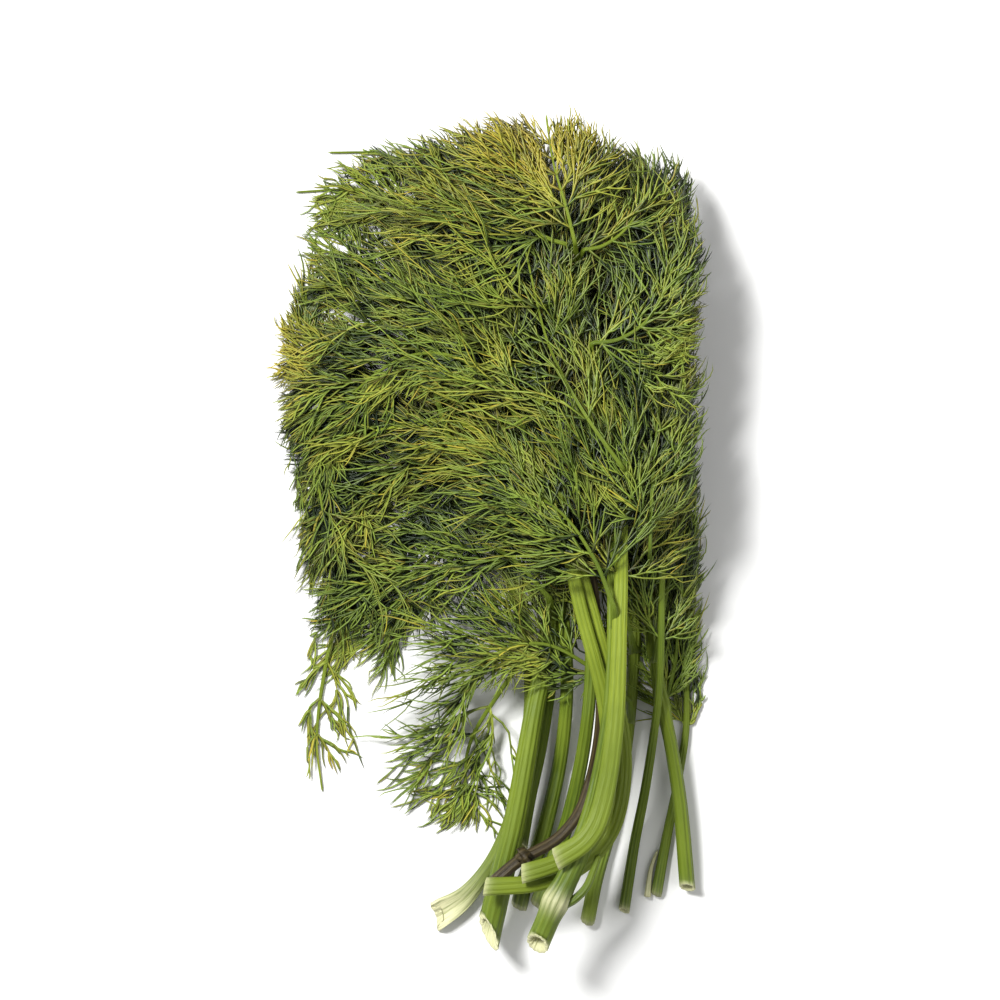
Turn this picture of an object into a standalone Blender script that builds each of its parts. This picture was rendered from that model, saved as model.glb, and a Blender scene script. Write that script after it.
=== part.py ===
"""A loose bunch of fresh-cut dill, lying on a table.

Five leafy shoots and nine single leaves were cut and laid together, stalks one way.
Each shoot's stem and each leaf is one solid: it grew as one piece. +Y runs from the cut
ends to the tips, +Z is up, and the origin is under the middle of the bunch.

The pieces are laid one after another in plan. Each comes to rest on the table or on
those laid before it, so its height follows from the pile and not from a list.
"""

import math

import bpy
import numpy as np

MM = 0.001

# Driving dimensions, in millimetres.
GAP = 0.5  # air left between two pieces, of which the map's cells can take 0.2
CELL = 0.5  # side of one cell of the height map
MAP_HALF = (60.0, 100.0)  # the height map reaches this far from the origin
STEM_BEND = 90.0  # a stem arches over what lies under it with this radius
LEAF_BEND = 45.0  # and so does a leaf, which is softer
STEEPEST = 0.4  # no strand climbs or falls more steeply
STEP = 2.0  # spacing of the points where a height is worked out
EASE = 4.0  # heights are evened out over this length

STEM_RING_STEP = 7.5
STEM_SIDES = 8
NODE_SWELL = 1.22  # a stem is this much thicker where a leaf leaves it
NODE_LENGTH = 3.0

STALK_RING_STEP = 12.0
STALK_SIDES = 6
STALK_TIP = 0.42  # radius of a leaf's midrib at its tip
ROOT_LENGTH = 1.3  # how much of the midrib a leaflet grows from
LEAFLET_THICK = 0.55  # half the thickness of a leaflet's plume
LEAFLET_WIDE = 0.19  # half its width, as a share of its length
LEAFLET_CLEAR = 0.42  # and at most this share of the way to the next one
LEAFLET_FORWARD = 17.0  # degrees that it curves towards the leaf's tip
LEAFLET_SLOPE = 0.28  # a leaflet rises or droops this steeply at most
TIP_PLUME = 0.24  # the leaf's own tip is a plume over this share of the blade
TIP_PLUME_WIDE = 2.2
BLADE_TAPER = 0.72  # the last leaflets are shorter than the first by this share
INNER_SHORT = 0.9  # how strongly leaflets shorten on the inside of a bend

# Shoots: the stem's route in plan from its cut end, its radius there and at its top, and
# where along it, as a share of its length, its leaves leave it.
SHOOTS = {
    "stem_split": dict(
        route=[(-13, -83.5), (-5.5, -78), (1.5, -67), (6, -50), (7, -30), (2, -8), (-8, 14),
               (-16, 34)],
        radius=(2.2, 0.9),
        nodes=(0.63, 0.82, 0.97),
    ),
    "stem_thick": dict(
        route=[(-1.5, -86), (1.5, -73), (4.5, -60), (8, -40), (12, -18), (11, 6), (4, 30),
               (-2, 48)],
        radius=(2.6, 0.9),
        nodes=(0.46, 0.66, 0.8, 0.92),
    ),
    "stem_mid": dict(
        route=[(19.5, -84.3), (21.4, -75), (25, -62), (28, -45), (29.5, -25), (29, -4), (28, 14),
               (29, 32)],
        radius=(1.5, 0.8),
        nodes=(0.52, 0.8),
    ),
    "stem_right": dict(
        route=[(40.7, -77), (39.2, -60), (37.2, -47), (34.5, -34), (33, -20), (32.4, -7), (34, 3),
               (35.5, 18), (36, 34)],
        radius=(1.6, 0.8),
        nodes=(0.35, 0.47, 0.63),
    ),
    "stem_crown": dict(
        route=[(8.7, -87.3), (12.5, -78.5), (17, -69), (21.5, -55), (24.5, -36), (25, -14),
               (23.7, 12), (21, 30), (18.3, 44), (16.7, 58)],
        radius=(2.4, 0.95),
        nodes=(0.065, 0.83, 0.91),
    ),
}

# Leaves: the midrib's route in plan from the stalk's foot to the tip, the share of it
# that is bare stalk, how many pairs of leaflets follow, the longest leaflet, the angle at
# which it stands off, and the half width and half thickness of the stalk's foot.
LEAVES = {
    # single leaves, each with its own cut end
    "leaf_edge": dict(
        route=[(34.2, -78.6), (36.3, -67), (38.7, -55), (40.6, -42), (40, -26), (38.4, -8),
               (37.4, 12), (37, 30)],
        stalk=0.42, pairs=6, reach=9, angle=34, foot=(1.2, 1.2),
    ),
    "leaf_under": dict(
        route=[(5.2, -68), (7, -58), (10, -44), (13, -22), (14, 4), (14, 26), (20, 44), (25, 62),
               (27, 74)],
        stalk=0.5, pairs=6, reach=19, angle=46, foot=(1.6, 1.6),
    ),
    "leaf_low_left": dict(
        route=[(5, -81), (6.5, -75), (10, -66), (14, -48), (15, -28), (12, -8), (3, 4), (-12, 4),
               (-26, -6), (-33, -18)],
        stalk=0.56, pairs=6, reach=17, angle=48, foot=(1.8, 1.8),
    ),
    "leaf_cross": dict(
        route=[(8.9, -80.5), (12, -72), (15.5, -62), (19, -44), (20, -24), (17, -2), (8, 20),
               (-2, 36), (-12, 46), (-24, 52)],
        stalk=0.56, pairs=6, reach=20, angle=48, foot=(1.7, 1.7),
    ),
    "leaf_wilted": dict(
        route=[(-0.5, -75), (5, -70.5), (13.5, -65.5), (19, -57), (22, -40), (21, -16), (18, 8),
               (20, 30), (24, 48)],
        stalk=0.58, pairs=5, reach=15, angle=42, foot=(1.3, 1.1),
    ),
    "leaf_long_right": dict(
        route=[(27.3, -82), (29.5, -68), (32, -54), (34.5, -34), (35, -12), (35.5, 10), (36, 30),
               (37, 50)],
        stalk=0.44, pairs=6, reach=11, angle=36, foot=(1.2, 1.2),
    ),
    "leaf_strap_low": dict(
        route=[(-2.3, -75.8), (9.3, -75), (19, -71), (25.5, -62), (27, -46), (22, -24), (15, -2),
               (4, 14), (-10, 22), (-26, 20)],
        stalk=0.6, pairs=6, reach=19, angle=48, foot=(1.9, 0.9),
    ),
    "leaf_strap_mid": dict(
        route=[(5.5, -73), (13.5, -70.5), (20, -66), (23.5, -56), (23, -38), (17, -14), (12, 12),
               (8, 34), (9, 52), (8, 70)],
        stalk=0.56, pairs=6, reach=20, angle=48, foot=(2.0, 0.9),
    ),
    "leaf_strap_top": dict(
        route=[(12.5, -69.5), (19, -65), (22.5, -57), (25, -40), (26, -16), (27, 6), (31, 22),
               (33.5, 38)],
        stalk=0.56, pairs=5, reach=15, angle=44, foot=(2.3, 0.9),
    ),
    # leaves of the split stem
    "leaf_lowest": dict(
        route=[(0.5, -7), (-14, -10), (-27, -13), (-34, -22), (-37, -34), (-38.2, -46), (-37, -57)],
        stalk=0.5, pairs=4, reach=9, angle=42, foot=(0.9, 0.8),
    ),
    "leaf_far_left": dict(
        route=[(-14, 29), (-26, 31), (-37, 30), (-40.5, 39), (-40.5, 50)],
        stalk=0.3, pairs=5, reach=11, angle=44, foot=(0.9, 0.8),
    ),
    "leaf_droop": dict(
        route=[(-9, 15), (-15, 34), (-23, 43), (-33, 38), (-38, 22), (-37, 4), (-32, -12)],
        stalk=0.34, pairs=7, reach=12, angle=42, foot=(0.9, 0.8),
    ),
    "leaf_upper_left": dict(
        route=[(-16.5, 35), (-20, 47), (-27, 56), (-40, 59)],
        stalk=0.16, pairs=5, reach=17, angle=46, foot=(0.9, 0.8),
    ),
    # leaves of the thick stem
    "leaf_hanging": dict(
        route=[(9, -24), (1, -35), (-6, -48), (-6, -64)],
        stalk=0.4, pairs=4, reach=13, angle=42, foot=(0.9, 0.8),
    ),
    "leaf_left_mid": dict(
        route=[(10, 3), (-5, 13), (-20, 15), (-31, 5), (-36, -9)],
        stalk=0.24, pairs=6, reach=17, angle=46, foot=(0.9, 0.8),
    ),
    "leaf_arc": dict(
        route=[(7, 19), (-4, 33), (-17, 36), (-30, 28), (-38, 14)],
        stalk=0.22, pairs=6, reach=17, angle=44, foot=(0.9, 0.8),
    ),
    "leaf_top_left": dict(
        route=[(0, 42), (-3, 62), (-12, 74), (-24, 79), (-36, 79.5)],
        stalk=0.24, pairs=6, reach=16, angle=40, foot=(0.9, 0.8),
    ),
    "leaf_plume": dict(
        route=[(-2, 48), (-8, 61), (-19, 69), (-30, 71.5), (-43, 71)],
        stalk=0.16, pairs=6, reach=17, angle=42, foot=(0.9, 0.8),
    ),
    "leaf_low_mid": dict(
        route=[(12, -16), (2, -6), (-9, -5), (-19, -13), (-24, -25)],
        stalk=0.24, pairs=6, reach=16, angle=46, foot=(0.9, 0.8),
    ),
    # leaves of the middle stem
    "leaf_low_right": dict(
        route=[(28.5, -23), (25, -10), (18, 0), (7, 5)],
        stalk=0.24, pairs=5, reach=16, angle=46, foot=(0.9, 0.8),
    ),
    "leaf_inner": dict(
        route=[(27, 11), (18, 24), (11, 38), (7, 54), (3, 74)],
        stalk=0.2, pairs=6, reach=19, angle=46, foot=(0.9, 0.8),
    ),
    "leaf_mid_top": dict(
        route=[(29, 32), (30, 46), (31, 60), (29, 75)],
        stalk=0.12, pairs=6, reach=15, angle=42, foot=(0.9, 0.8),
    ),
    "leaf_mid_low": dict(
        route=[(29, -38), (20, -30), (10, -25), (0, -27), (-7, -35)],
        stalk=0.24, pairs=6, reach=15, angle=46, foot=(0.9, 0.8),
    ),
    # leaves of the right-hand stem
    "leaf_right_foot": dict(
        route=[(36, -38), (38.3, -28), (38.6, -16), (38, -3)],
        stalk=0.12, pairs=5, reach=9, angle=36, foot=(0.9, 0.8),
    ),
    "leaf_right_low": dict(
        route=[(34, -25), (36.2, -13), (37, 1), (36.5, 17)],
        stalk=0.12, pairs=6, reach=10, angle=38, foot=(0.9, 0.8),
    ),
    "leaf_right_mid": dict(
        route=[(32, -6), (32.5, 9), (34, 24), (36.5, 41)],
        stalk=0.14, pairs=6, reach=12, angle=40, foot=(0.9, 0.8),
    ),
    "leaf_right_top": dict(
        route=[(36, 34), (37, 48), (36.5, 61), (34, 72), (28, 80)],
        stalk=0.12, pairs=6, reach=12, angle=40, foot=(0.9, 0.8),
    ),
    # leaves of the crown stem
    "leaf_crown_low": dict(
        route=[(25, -18), (20, -6), (12, 4), (0, 8)],
        stalk=0.2, pairs=6, reach=17, angle=46, foot=(1.0, 0.9),
    ),
    "leaf_node_left": dict(
        route=[(17.5, 44.5), (6, 47), (-6, 51), (-19, 52)],
        stalk=0.16, pairs=5, reach=18, angle=46, foot=(0.9, 0.8),
    ),
    "leaf_node_right": dict(
        route=[(19, 38), (26, 39), (32.5, 44), (37, 54)],
        stalk=0.18, pairs=5, reach=13, angle=44, foot=(0.9, 0.8),
    ),
    "leaf_crown_left": dict(
        route=[(16.2, 58.4), (10, 60.5), (4, 65), (-2, 72), (-6, 81)],
        stalk=0.2, pairs=5, reach=16, angle=44, foot=(0.9, 0.8),
    ),
    "leaf_crown_right": dict(
        route=[(17.4, 57.6), (22.5, 58.5), (28, 63), (33, 72)],
        stalk=0.2, pairs=4, reach=13, angle=42, foot=(0.9, 0.8),
    ),
    "leaf_crown": dict(
        route=[(16.7, 58), (14.5, 67), (12, 76), (10.5, 86.5)],
        stalk=0.14, pairs=6, reach=17, angle=44, foot=(0.9, 0.8),
    ),
}

# From the table up: each piece rests on those named before it.
LAID = [
    "leaf_edge", "stem_split", "leaf_under", "stem_thick", "leaf_low_left", "stem_mid", "leaf_lowest",
    "leaf_hanging", "leaf_upper_left", "leaf_far_left", "leaf_right_foot", "leaf_mid_low", "leaf_cross",
    "leaf_top_left", "stem_right", "leaf_low_right", "leaf_low_mid", "leaf_left_mid", "leaf_right_low",
    "leaf_long_right", "leaf_wilted", "leaf_strap_low", "leaf_mid_top", "leaf_strap_mid", "stem_crown",
    "leaf_strap_top", "leaf_droop", "leaf_plume", "leaf_crown_low", "leaf_node_left", "leaf_arc",
    "leaf_right_mid", "leaf_right_top", "leaf_inner", "leaf_node_right", "leaf_crown_left",
    "leaf_crown_right", "leaf_crown",
]

# Colour, roughness and metallic value of each finish.
FINISHES = {
    "green_stem": ((0.22, 0.37, 0.06), 0.42, 0.0),
    "dill_leaf": ((0.16, 0.27, 0.04), 0.5, 0.0),
    "wilted_leaf": ((0.11, 0.09, 0.03), 0.65, 0.0),
}


def smooth_route(points, spacing):
    """Even points about `spacing` apart on a Catmull-Rom curve through the given ones."""
    given = np.array(points, float)
    ends = np.vstack([2 * given[0] - given[1], given, 2 * given[-1] - given[-2]])
    t = np.linspace(0, 1, 24, endpoint=False)[:, None]
    curve = []
    for a, b, c, d in zip(ends[:-3], ends[1:-2], ends[2:-1], ends[3:]):
        square = 2 * a - 5 * b + 4 * c - d
        cube = 3 * b - a - 3 * c + d
        curve.append(0.5 * (2 * b + (c - a) * t + square * t**2 + cube * t**3))
    fine = np.vstack([*curve, given[-1:]])
    along = np.concatenate([[0], np.cumsum(np.linalg.norm(np.diff(fine, axis=0), axis=1))])
    count = max(3, round(along[-1] / spacing) + 1)
    at = np.linspace(0, along[-1], count)
    return np.stack([np.interp(at, along, fine[:, k]) for k in range(2)], axis=1), at


def directions(line):
    """Unit direction of travel at each point of a line."""
    ahead = np.gradient(line, axis=0)
    return ahead / np.linalg.norm(ahead, axis=1, keepdims=True)


class Pile:
    """The top of what has been laid so far, as heights on a grid of cells."""

    def __init__(self):
        self.top = np.zeros([int(2 * half / CELL) for half in MAP_HALF])

    def dome(self, point, wide, thick):
        """The cells that a round strand covers at one point, as slices, and how far its
        surface stands from its centre's height over each. It is -inf beside the strand."""
        reach = wide + 0.7 * CELL
        low = [max(0, int((c + half - reach) / CELL)) for c, half in zip(point, MAP_HALF)]
        high = [int((c + half + reach) / CELL) + 1 for c, half in zip(point, MAP_HALF)]
        x = (np.arange(low[0], high[0])[:, None] + 0.5) * CELL - MAP_HALF[0] - point[0]
        y = (np.arange(low[1], high[1])[None, :] + 0.5) * CELL - MAP_HALF[1] - point[1]
        away = np.maximum(np.hypot(x, y) - 0.7 * CELL, 0) / wide
        swell = np.where(away < 1, thick * np.sqrt(np.clip(1 - away**2, 0, 1)), -np.inf)
        return (slice(low[0], high[0]), slice(low[1], high[1])), swell

    def clearing(self, point, wide, thick):
        """The lowest centre height at which a strand clears the pile here."""
        cut, swell = self.dome(point, wide, thick)
        top = self.top[cut]
        return (top + GAP * (top > 0) + swell).max()

    def lay(self, path, wide, thick):
        """Raises the grid to the top of a strand."""
        for (x, y, z), w, h in zip(path, wide, thick):
            cut, swell = self.dome((x, y), w, h)
            self.top[cut] = np.maximum(self.top[cut], z + swell)


def resting_heights(needed, spacing, bend):
    """The lowest smooth heights over the needed ones. Each needed height carries an arch
    of radius `bend` that runs out into a straight slope, and the highest arch counts."""
    s = np.arange(len(needed)) * spacing
    away = np.abs(s[:, None] - s[None, :])
    run_out = STEEPEST * bend
    drop = np.where(away < run_out, away**2 / (2 * bend), STEEPEST * (away - run_out / 2))
    heights = (needed[None, :] - drop).max(axis=1)
    reach = max(1, round(EASE / spacing))
    padded = np.pad(heights, reach, mode="edge")
    kernel = np.ones(2 * reach + 1) / (2 * reach + 1)
    eased = np.convolve(padded, kernel, mode="valid")
    return eased + max(0.0, (needed - eased).max())


def strand_shell(path, wide, thick, sides):
    """Points and faces of a closed strand: a ring of `sides` points round each point of
    the path, `wide` across and `thick` up, with flat ends. A last ring of no width is
    one point."""
    ahead = directions(path)
    across = np.cross([0, 0, 1], ahead)
    across /= np.linalg.norm(across, axis=1, keepdims=True)
    up = np.cross(ahead, across)
    turn = 2 * math.pi * (np.arange(sides) + (0.5 if sides > 4 else 0)) / sides
    pointed = wide[-1] == 0
    rings = len(path) - pointed
    points = (
        path[:rings, None]
        + across[:rings, None] * (wide[:rings, None] * np.cos(turn))[..., None]
        + up[:rings, None] * (thick[:rings, None] * np.sin(turn))[..., None]
    ).reshape(-1, 3)
    faces = [tuple(range(sides))[::-1]]
    for r in range(rings - 1):
        for k in range(sides):
            a, b = r * sides + k, r * sides + (k + 1) % sides
            faces.append((a, b, b + sides, a + sides))
    last = (rings - 1) * sides
    if pointed:
        points = np.vstack([points, path[-1:]])
        faces += [(last + k, last + (k + 1) % sides, rings * sides) for k in range(sides)]
    else:
        faces.append(tuple(range(last, last + sides)))
    return points, faces


def mesh_of(name, shells):
    """One mesh from several closed shells, in metres."""
    points, faces, start = [], [], 0
    for shell_points, shell_faces in shells:
        points.append(shell_points * MM)
        faces += [tuple(i + start for i in face) for face in shell_faces]
        start += len(shell_points)
    mesh = bpy.data.meshes.new(name)
    mesh.from_pydata(np.vstack(points).tolist(), [], faces)
    mesh.update()
    return mesh


def place(name, mesh, finish):
    piece = bpy.data.objects.new(name, mesh)
    bpy.context.scene.collection.objects.link(piece)
    mesh.materials.clear()
    mesh.materials.append(finish)
    return piece


def stem_radii(at, radius, nodes):
    """A stem's radius along its length: an even taper, and a swelling at each node."""
    share = at / at[-1]
    taper = radius[0] + (radius[1] - radius[0]) * share
    swell = sum(np.exp(-(((share - n) * at[-1] / NODE_LENGTH) ** 2)) for n in nodes)
    return taper * (1 + (NODE_SWELL - 1) * swell)


def lay_stem(name, pile, finish):
    shoot = SHOOTS[name]
    plan, at = smooth_route(shoot["route"], STEP)
    radii = stem_radii(at, shoot["radius"], shoot["nodes"])
    needed = np.array([pile.clearing(p, r, r) for p, r in zip(plan, radii)])
    height = resting_heights(needed, at[1], STEM_BEND)
    path = np.column_stack([plan, height])
    pile.lay(path, radii, radii)
    rings = np.linspace(0, at[-1], round(at[-1] / STEM_RING_STEP) + 1)
    ring_path = np.stack([np.interp(rings, at, path[:, k]) for k in range(3)], axis=1)
    ring_radii = np.interp(rings, at, radii)
    shell = strand_shell(ring_path, ring_radii, ring_radii, STEM_SIDES)
    return place(name, mesh_of(name, [shell]), finish)


def leaflet_plan(leaf, plan, at):
    """The leaflets of a leaf in plan: for each, where along the midrib it leaves, its
    side, four points of its path and its half width. They get shorter towards the tip
    and on the inside of a bend, and stay clear of one another."""
    ahead = directions(plan)
    heading = np.unwrap(np.arctan2(ahead[:, 1], ahead[:, 0]))
    bend = np.gradient(heading, at)
    bare = leaf["stalk"]
    share = (np.arange(leaf["pairs"] + 1) / leaf["pairs"]) ** 0.88
    roots = at[-1] * (bare + (1 - bare) * (1 - TIP_PLUME * 0.6) * share)
    angle = math.radians(leaf["angle"])
    forward = math.radians(LEAFLET_FORWARD) * np.array([0, 0.5, 1])
    leaflets = []
    for k in range(leaf["pairs"]):
        start = np.array([np.interp(roots[k], at, plan[:, c]) for c in range(2)])
        clear = LEAFLET_CLEAR * (roots[k + 1] - roots[k]) * math.sin(angle)
        for side in (1, -1):
            length = leaf["reach"] * (1 - BLADE_TAPER * share[k])
            inward = side * np.interp(roots[k], at, bend) * length
            length *= 1 - np.clip(INNER_SHORT * inward, -0.15, 0.55)
            angles = np.interp(roots[k], at, heading) + side * (angle - forward)
            steps = np.column_stack([np.cos(angles), np.sin(angles)]) * length / 3
            path = np.vstack([start, start + np.cumsum(steps, axis=0)])
            leaflets.append((roots[k], side, path, min(LEAFLET_WIDE * length, clear)))
    return leaflets


def between_stations(values):
    """Values at a leaflet's four stations, filled in at thirteen even places."""
    values = np.asarray(values, float)
    places = np.linspace(0, 3, 13)
    if values.ndim == 1:
        return np.interp(places, range(4), values)
    return np.stack([np.interp(places, range(4), column) for column in values.T], axis=1)


def leaflet_needs(pile, path, half):
    """The height that each station of a leaflet needs to clear what lies under it, and
    how far each is from the root."""
    fine = np.array([pile.clearing(p, half, LEAFLET_THICK) for p in between_stations(path)])
    needs = np.array([fine[max(0, 4 * k - 4) : 4 * k + 5].max() for k in range(4)])
    length = np.linalg.norm(path[1] - path[0])
    return needs, np.arange(4) * length


def leaf_widths(leaf, at):
    """Half width and half thickness of a leaf's stalk and midrib along its length. The
    end is a plume, as wide as a small leaflet."""
    share = at / at[-1]
    ease = 1 - (1 - share) ** 1.6
    foot_wide, foot_thick = leaf["foot"]
    plume_from = 1 - (1 - leaf["stalk"]) * TIP_PLUME
    plume = np.clip((share - plume_from) / (1 - plume_from), 0, 1)
    wide = foot_wide + (STALK_TIP - foot_wide) * ease
    thick = foot_thick + (STALK_TIP - foot_thick) * ease
    return wide + TIP_PLUME_WIDE * np.sin(math.pi * plume), thick


def leaf_rings(leaf, at, leaflets):
    """Where along a leaf its rings stand: along the bare stalk, either side of each pair
    of leaflets, and along the plume at its end."""
    roots = sorted({root for root, *_ in leaflets})
    bare = np.linspace(0, roots[0] - ROOT_LENGTH / 2, max(3, round(roots[0] / STALK_RING_STEP)))
    pairs = [root + half for root in roots for half in (-ROOT_LENGTH / 2, ROOT_LENGTH / 2)]
    end = np.linspace(roots[-1] + ROOT_LENGTH / 2, at[-1], 5)[1:]
    return np.concatenate([bare[:-1], pairs, end])


def grow_leaflets(points, faces, rings, leaflets, strands):
    """Draws each leaflet out of the side face of the midrib that it leaves, through two
    diamond-shaped sections to a point, so that the leaf stays one closed surface."""
    points = list(points)
    faces = list(faces)
    sides = STALK_SIDES
    for (root, side, _, half), strand in zip(leaflets, strands):
        ring = int(np.argmin(np.abs(rings - (root - ROOT_LENGTH / 2))))
        first = sides - 1 if side > 0 else sides // 2 - 1
        a = ring * sides + first
        b = ring * sides + (first + 1) % sides
        quad = (a, b, b + sides, a + sides)
        faces.remove(quad)
        ahead = directions(strand)
        for station, share in ((1, 0.85), (2, 1.0)):
            tipward = np.cross([0, 0, side], ahead[station]) * -half * share
            up = np.array([0, 0, side * LEAFLET_THICK])
            corners = [-tipward, up, tipward, -up]
            start = len(points)
            points += [strand[station] + corner for corner in corners]
            ring_now = tuple(range(start, start + 4))
            faces += [
                (quad[k], quad[(k + 1) % 4], ring_now[(k + 1) % 4], ring_now[k]) for k in range(4)
            ]
            quad = ring_now
        points.append(strand[3])
        faces += [(quad[k], quad[(k + 1) % 4], len(points) - 1) for k in range(4)]
    return np.array(points), faces


def lay_leaf(name, pile, finish):
    leaf = LEAVES[name]
    plan, at = smooth_route(leaf["route"], STEP)
    wide, thick = leaf_widths(leaf, at)
    leaflets = leaflet_plan(leaf, plan, at)

    needed = np.array([pile.clearing(p, w, h) for p, w, h in zip(plan, wide, thick)])
    needs_of = [leaflet_needs(pile, path, half) for _, _, path, half in leaflets]
    for (root, *_), (needs, away) in zip(leaflets, needs_of):
        station = int(np.argmin(np.abs(at - root)))
        needed[station] = max(needed[station], (needs - LEAFLET_SLOPE * away).max())
    height = resting_heights(needed, at[1], LEAF_BEND)

    rib = np.column_stack([plan, height])
    pile.lay(rib, wide, thick)
    strands = []
    for (root, _, path, half), (needs, away) in zip(leaflets, needs_of):
        at_root = np.interp(root, at, height)
        strand = np.column_stack([path, np.maximum(needs, at_root - LEAFLET_SLOPE * away)])
        strand[0, 2] = at_root
        strands.append(strand)
        widths = between_stations([0.5, 0.85 * half, half, 0.2])
        pile.lay(between_stations(strand), widths, np.full(13, LEAFLET_THICK))

    rings = leaf_rings(leaf, at, leaflets)
    ring_path = np.stack([np.interp(rings, at, rib[:, k]) for k in range(3)], axis=1)
    points, faces = strand_shell(
        ring_path, np.interp(rings, at, wide), np.interp(rings, at, thick), STALK_SIDES
    )
    shell = grow_leaflets(points, faces, rings, leaflets, strands)
    return place(name, mesh_of(name, [shell]), finish)


def make_finish(name, colour, roughness, metallic):
    finish = bpy.data.materials.new(name)
    finish.use_nodes = True
    finish.diffuse_color = (*colour, 1.0)
    shader = finish.node_tree.nodes["Principled BSDF"]
    shader.inputs["Base Color"].default_value = (*colour, 1.0)
    shader.inputs["Roughness"].default_value = roughness
    shader.inputs["Metallic"].default_value = metallic
    return finish


def settle(pieces):
    """Moves the bunch so that its lowest point touches the table and the origin is under
    its middle."""
    points = np.array([v.co for piece in pieces for v in piece.data.vertices])
    low, high = points.min(axis=0), points.max(axis=0)
    shift = np.array([*(low + high)[:2] / 2, low[2]])
    for piece in pieces:
        for vertex in piece.data.vertices:
            vertex.co = np.array(vertex.co) - shift
        piece.data.update()


def main():
    for leftover in list(bpy.data.objects):
        bpy.data.objects.remove(leftover, do_unlink=True)
    finishes = {name: make_finish(name, *values) for name, values in FINISHES.items()}
    pile = Pile()
    pieces = []
    for name in LAID:
        if name in SHOOTS:
            pieces.append(lay_stem(name, pile, finishes["green_stem"]))
        else:
            finish = finishes["wilted_leaf" if name == "leaf_wilted" else "dill_leaf"]
            pieces.append(lay_leaf(name, pile, finish))
    settle(pieces)


main()
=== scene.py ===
import math

import bpy
import numpy as np
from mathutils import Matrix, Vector
from mathutils.bvhtree import BVHTree


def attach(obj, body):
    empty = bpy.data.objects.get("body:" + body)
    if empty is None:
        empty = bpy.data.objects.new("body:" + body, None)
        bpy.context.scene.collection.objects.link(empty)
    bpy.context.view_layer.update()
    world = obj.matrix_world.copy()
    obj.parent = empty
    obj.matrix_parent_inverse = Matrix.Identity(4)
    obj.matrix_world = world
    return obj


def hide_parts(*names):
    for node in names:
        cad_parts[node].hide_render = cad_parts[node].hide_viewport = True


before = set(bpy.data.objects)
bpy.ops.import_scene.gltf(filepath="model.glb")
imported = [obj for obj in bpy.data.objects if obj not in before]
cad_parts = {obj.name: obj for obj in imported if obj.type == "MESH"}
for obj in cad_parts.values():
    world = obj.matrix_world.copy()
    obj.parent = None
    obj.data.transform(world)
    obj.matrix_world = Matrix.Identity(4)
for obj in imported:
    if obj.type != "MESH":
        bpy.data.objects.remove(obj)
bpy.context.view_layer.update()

mm = 0.001
routeMiddle = (-0.744, -0.832)  # mm, the bunch's middle on the grid that the routes are drawn on

# Main stems, in mm: route in plan from the cut end, radius at both ends, where leaves leave it, ribs,
# slant of the cut, how far the foot is split open, pale fuzz at the first node, and how yellow it is
stems = {
    "stem_split": dict(
        route=[(-13, -83.5), (-5.5, -78), (1.5, -67), (6, -50), (7, -30), (2, -8), (-8, 14),
               (-16, 34)],
        radius=(2.2, 0.9), nodes=(0.63, 0.82, 0.97), ribs=9, slant=0.5, splay=1, fuzz=0, age=0.35,
    ),
    "stem_thick": dict(
        route=[(-1.5, -86), (1.5, -73), (4.5, -60), (8, -40), (12, -18), (11, 6), (4, 30),
               (-2, 48)],
        radius=(2.6, 0.9), nodes=(0.46, 0.66, 0.8, 0.92), ribs=12, slant=1.5, splay=0, fuzz=0,
        age=0.3,
    ),
    "stem_mid": dict(
        route=[(19.5, -84.3), (21.4, -75), (25, -62), (28, -45), (29.5, -25), (29, -4), (28, 14),
               (29, 32)],
        radius=(1.5, 0.8), nodes=(0.52, 0.8), ribs=8, slant=0.2, splay=0, fuzz=0, age=0.45,
    ),
    "stem_right": dict(
        route=[(40.7, -77), (39.2, -60), (37.2, -47), (34.5, -34), (33, -20), (32.4, -7), (34, 3),
               (35.5, 18), (36, 34)],
        radius=(1.6, 0.8), nodes=(0.35, 0.47, 0.63), ribs=8, slant=0.3, splay=0, fuzz=0, age=0.4,
    ),
    "stem_crown": dict(
        route=[(8.7, -87.3), (12.5, -78.5), (17, -69), (21.5, -55), (24.5, -36), (25, -14),
               (23.7, 12), (21, 30), (18.3, 44), (16.7, 58)],
        radius=(2.4, 0.95), nodes=(0.065, 0.83, 0.91), ribs=12, slant=0.25, splay=0, fuzz=0.6,
        age=0.3,
    ),
}

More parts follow.
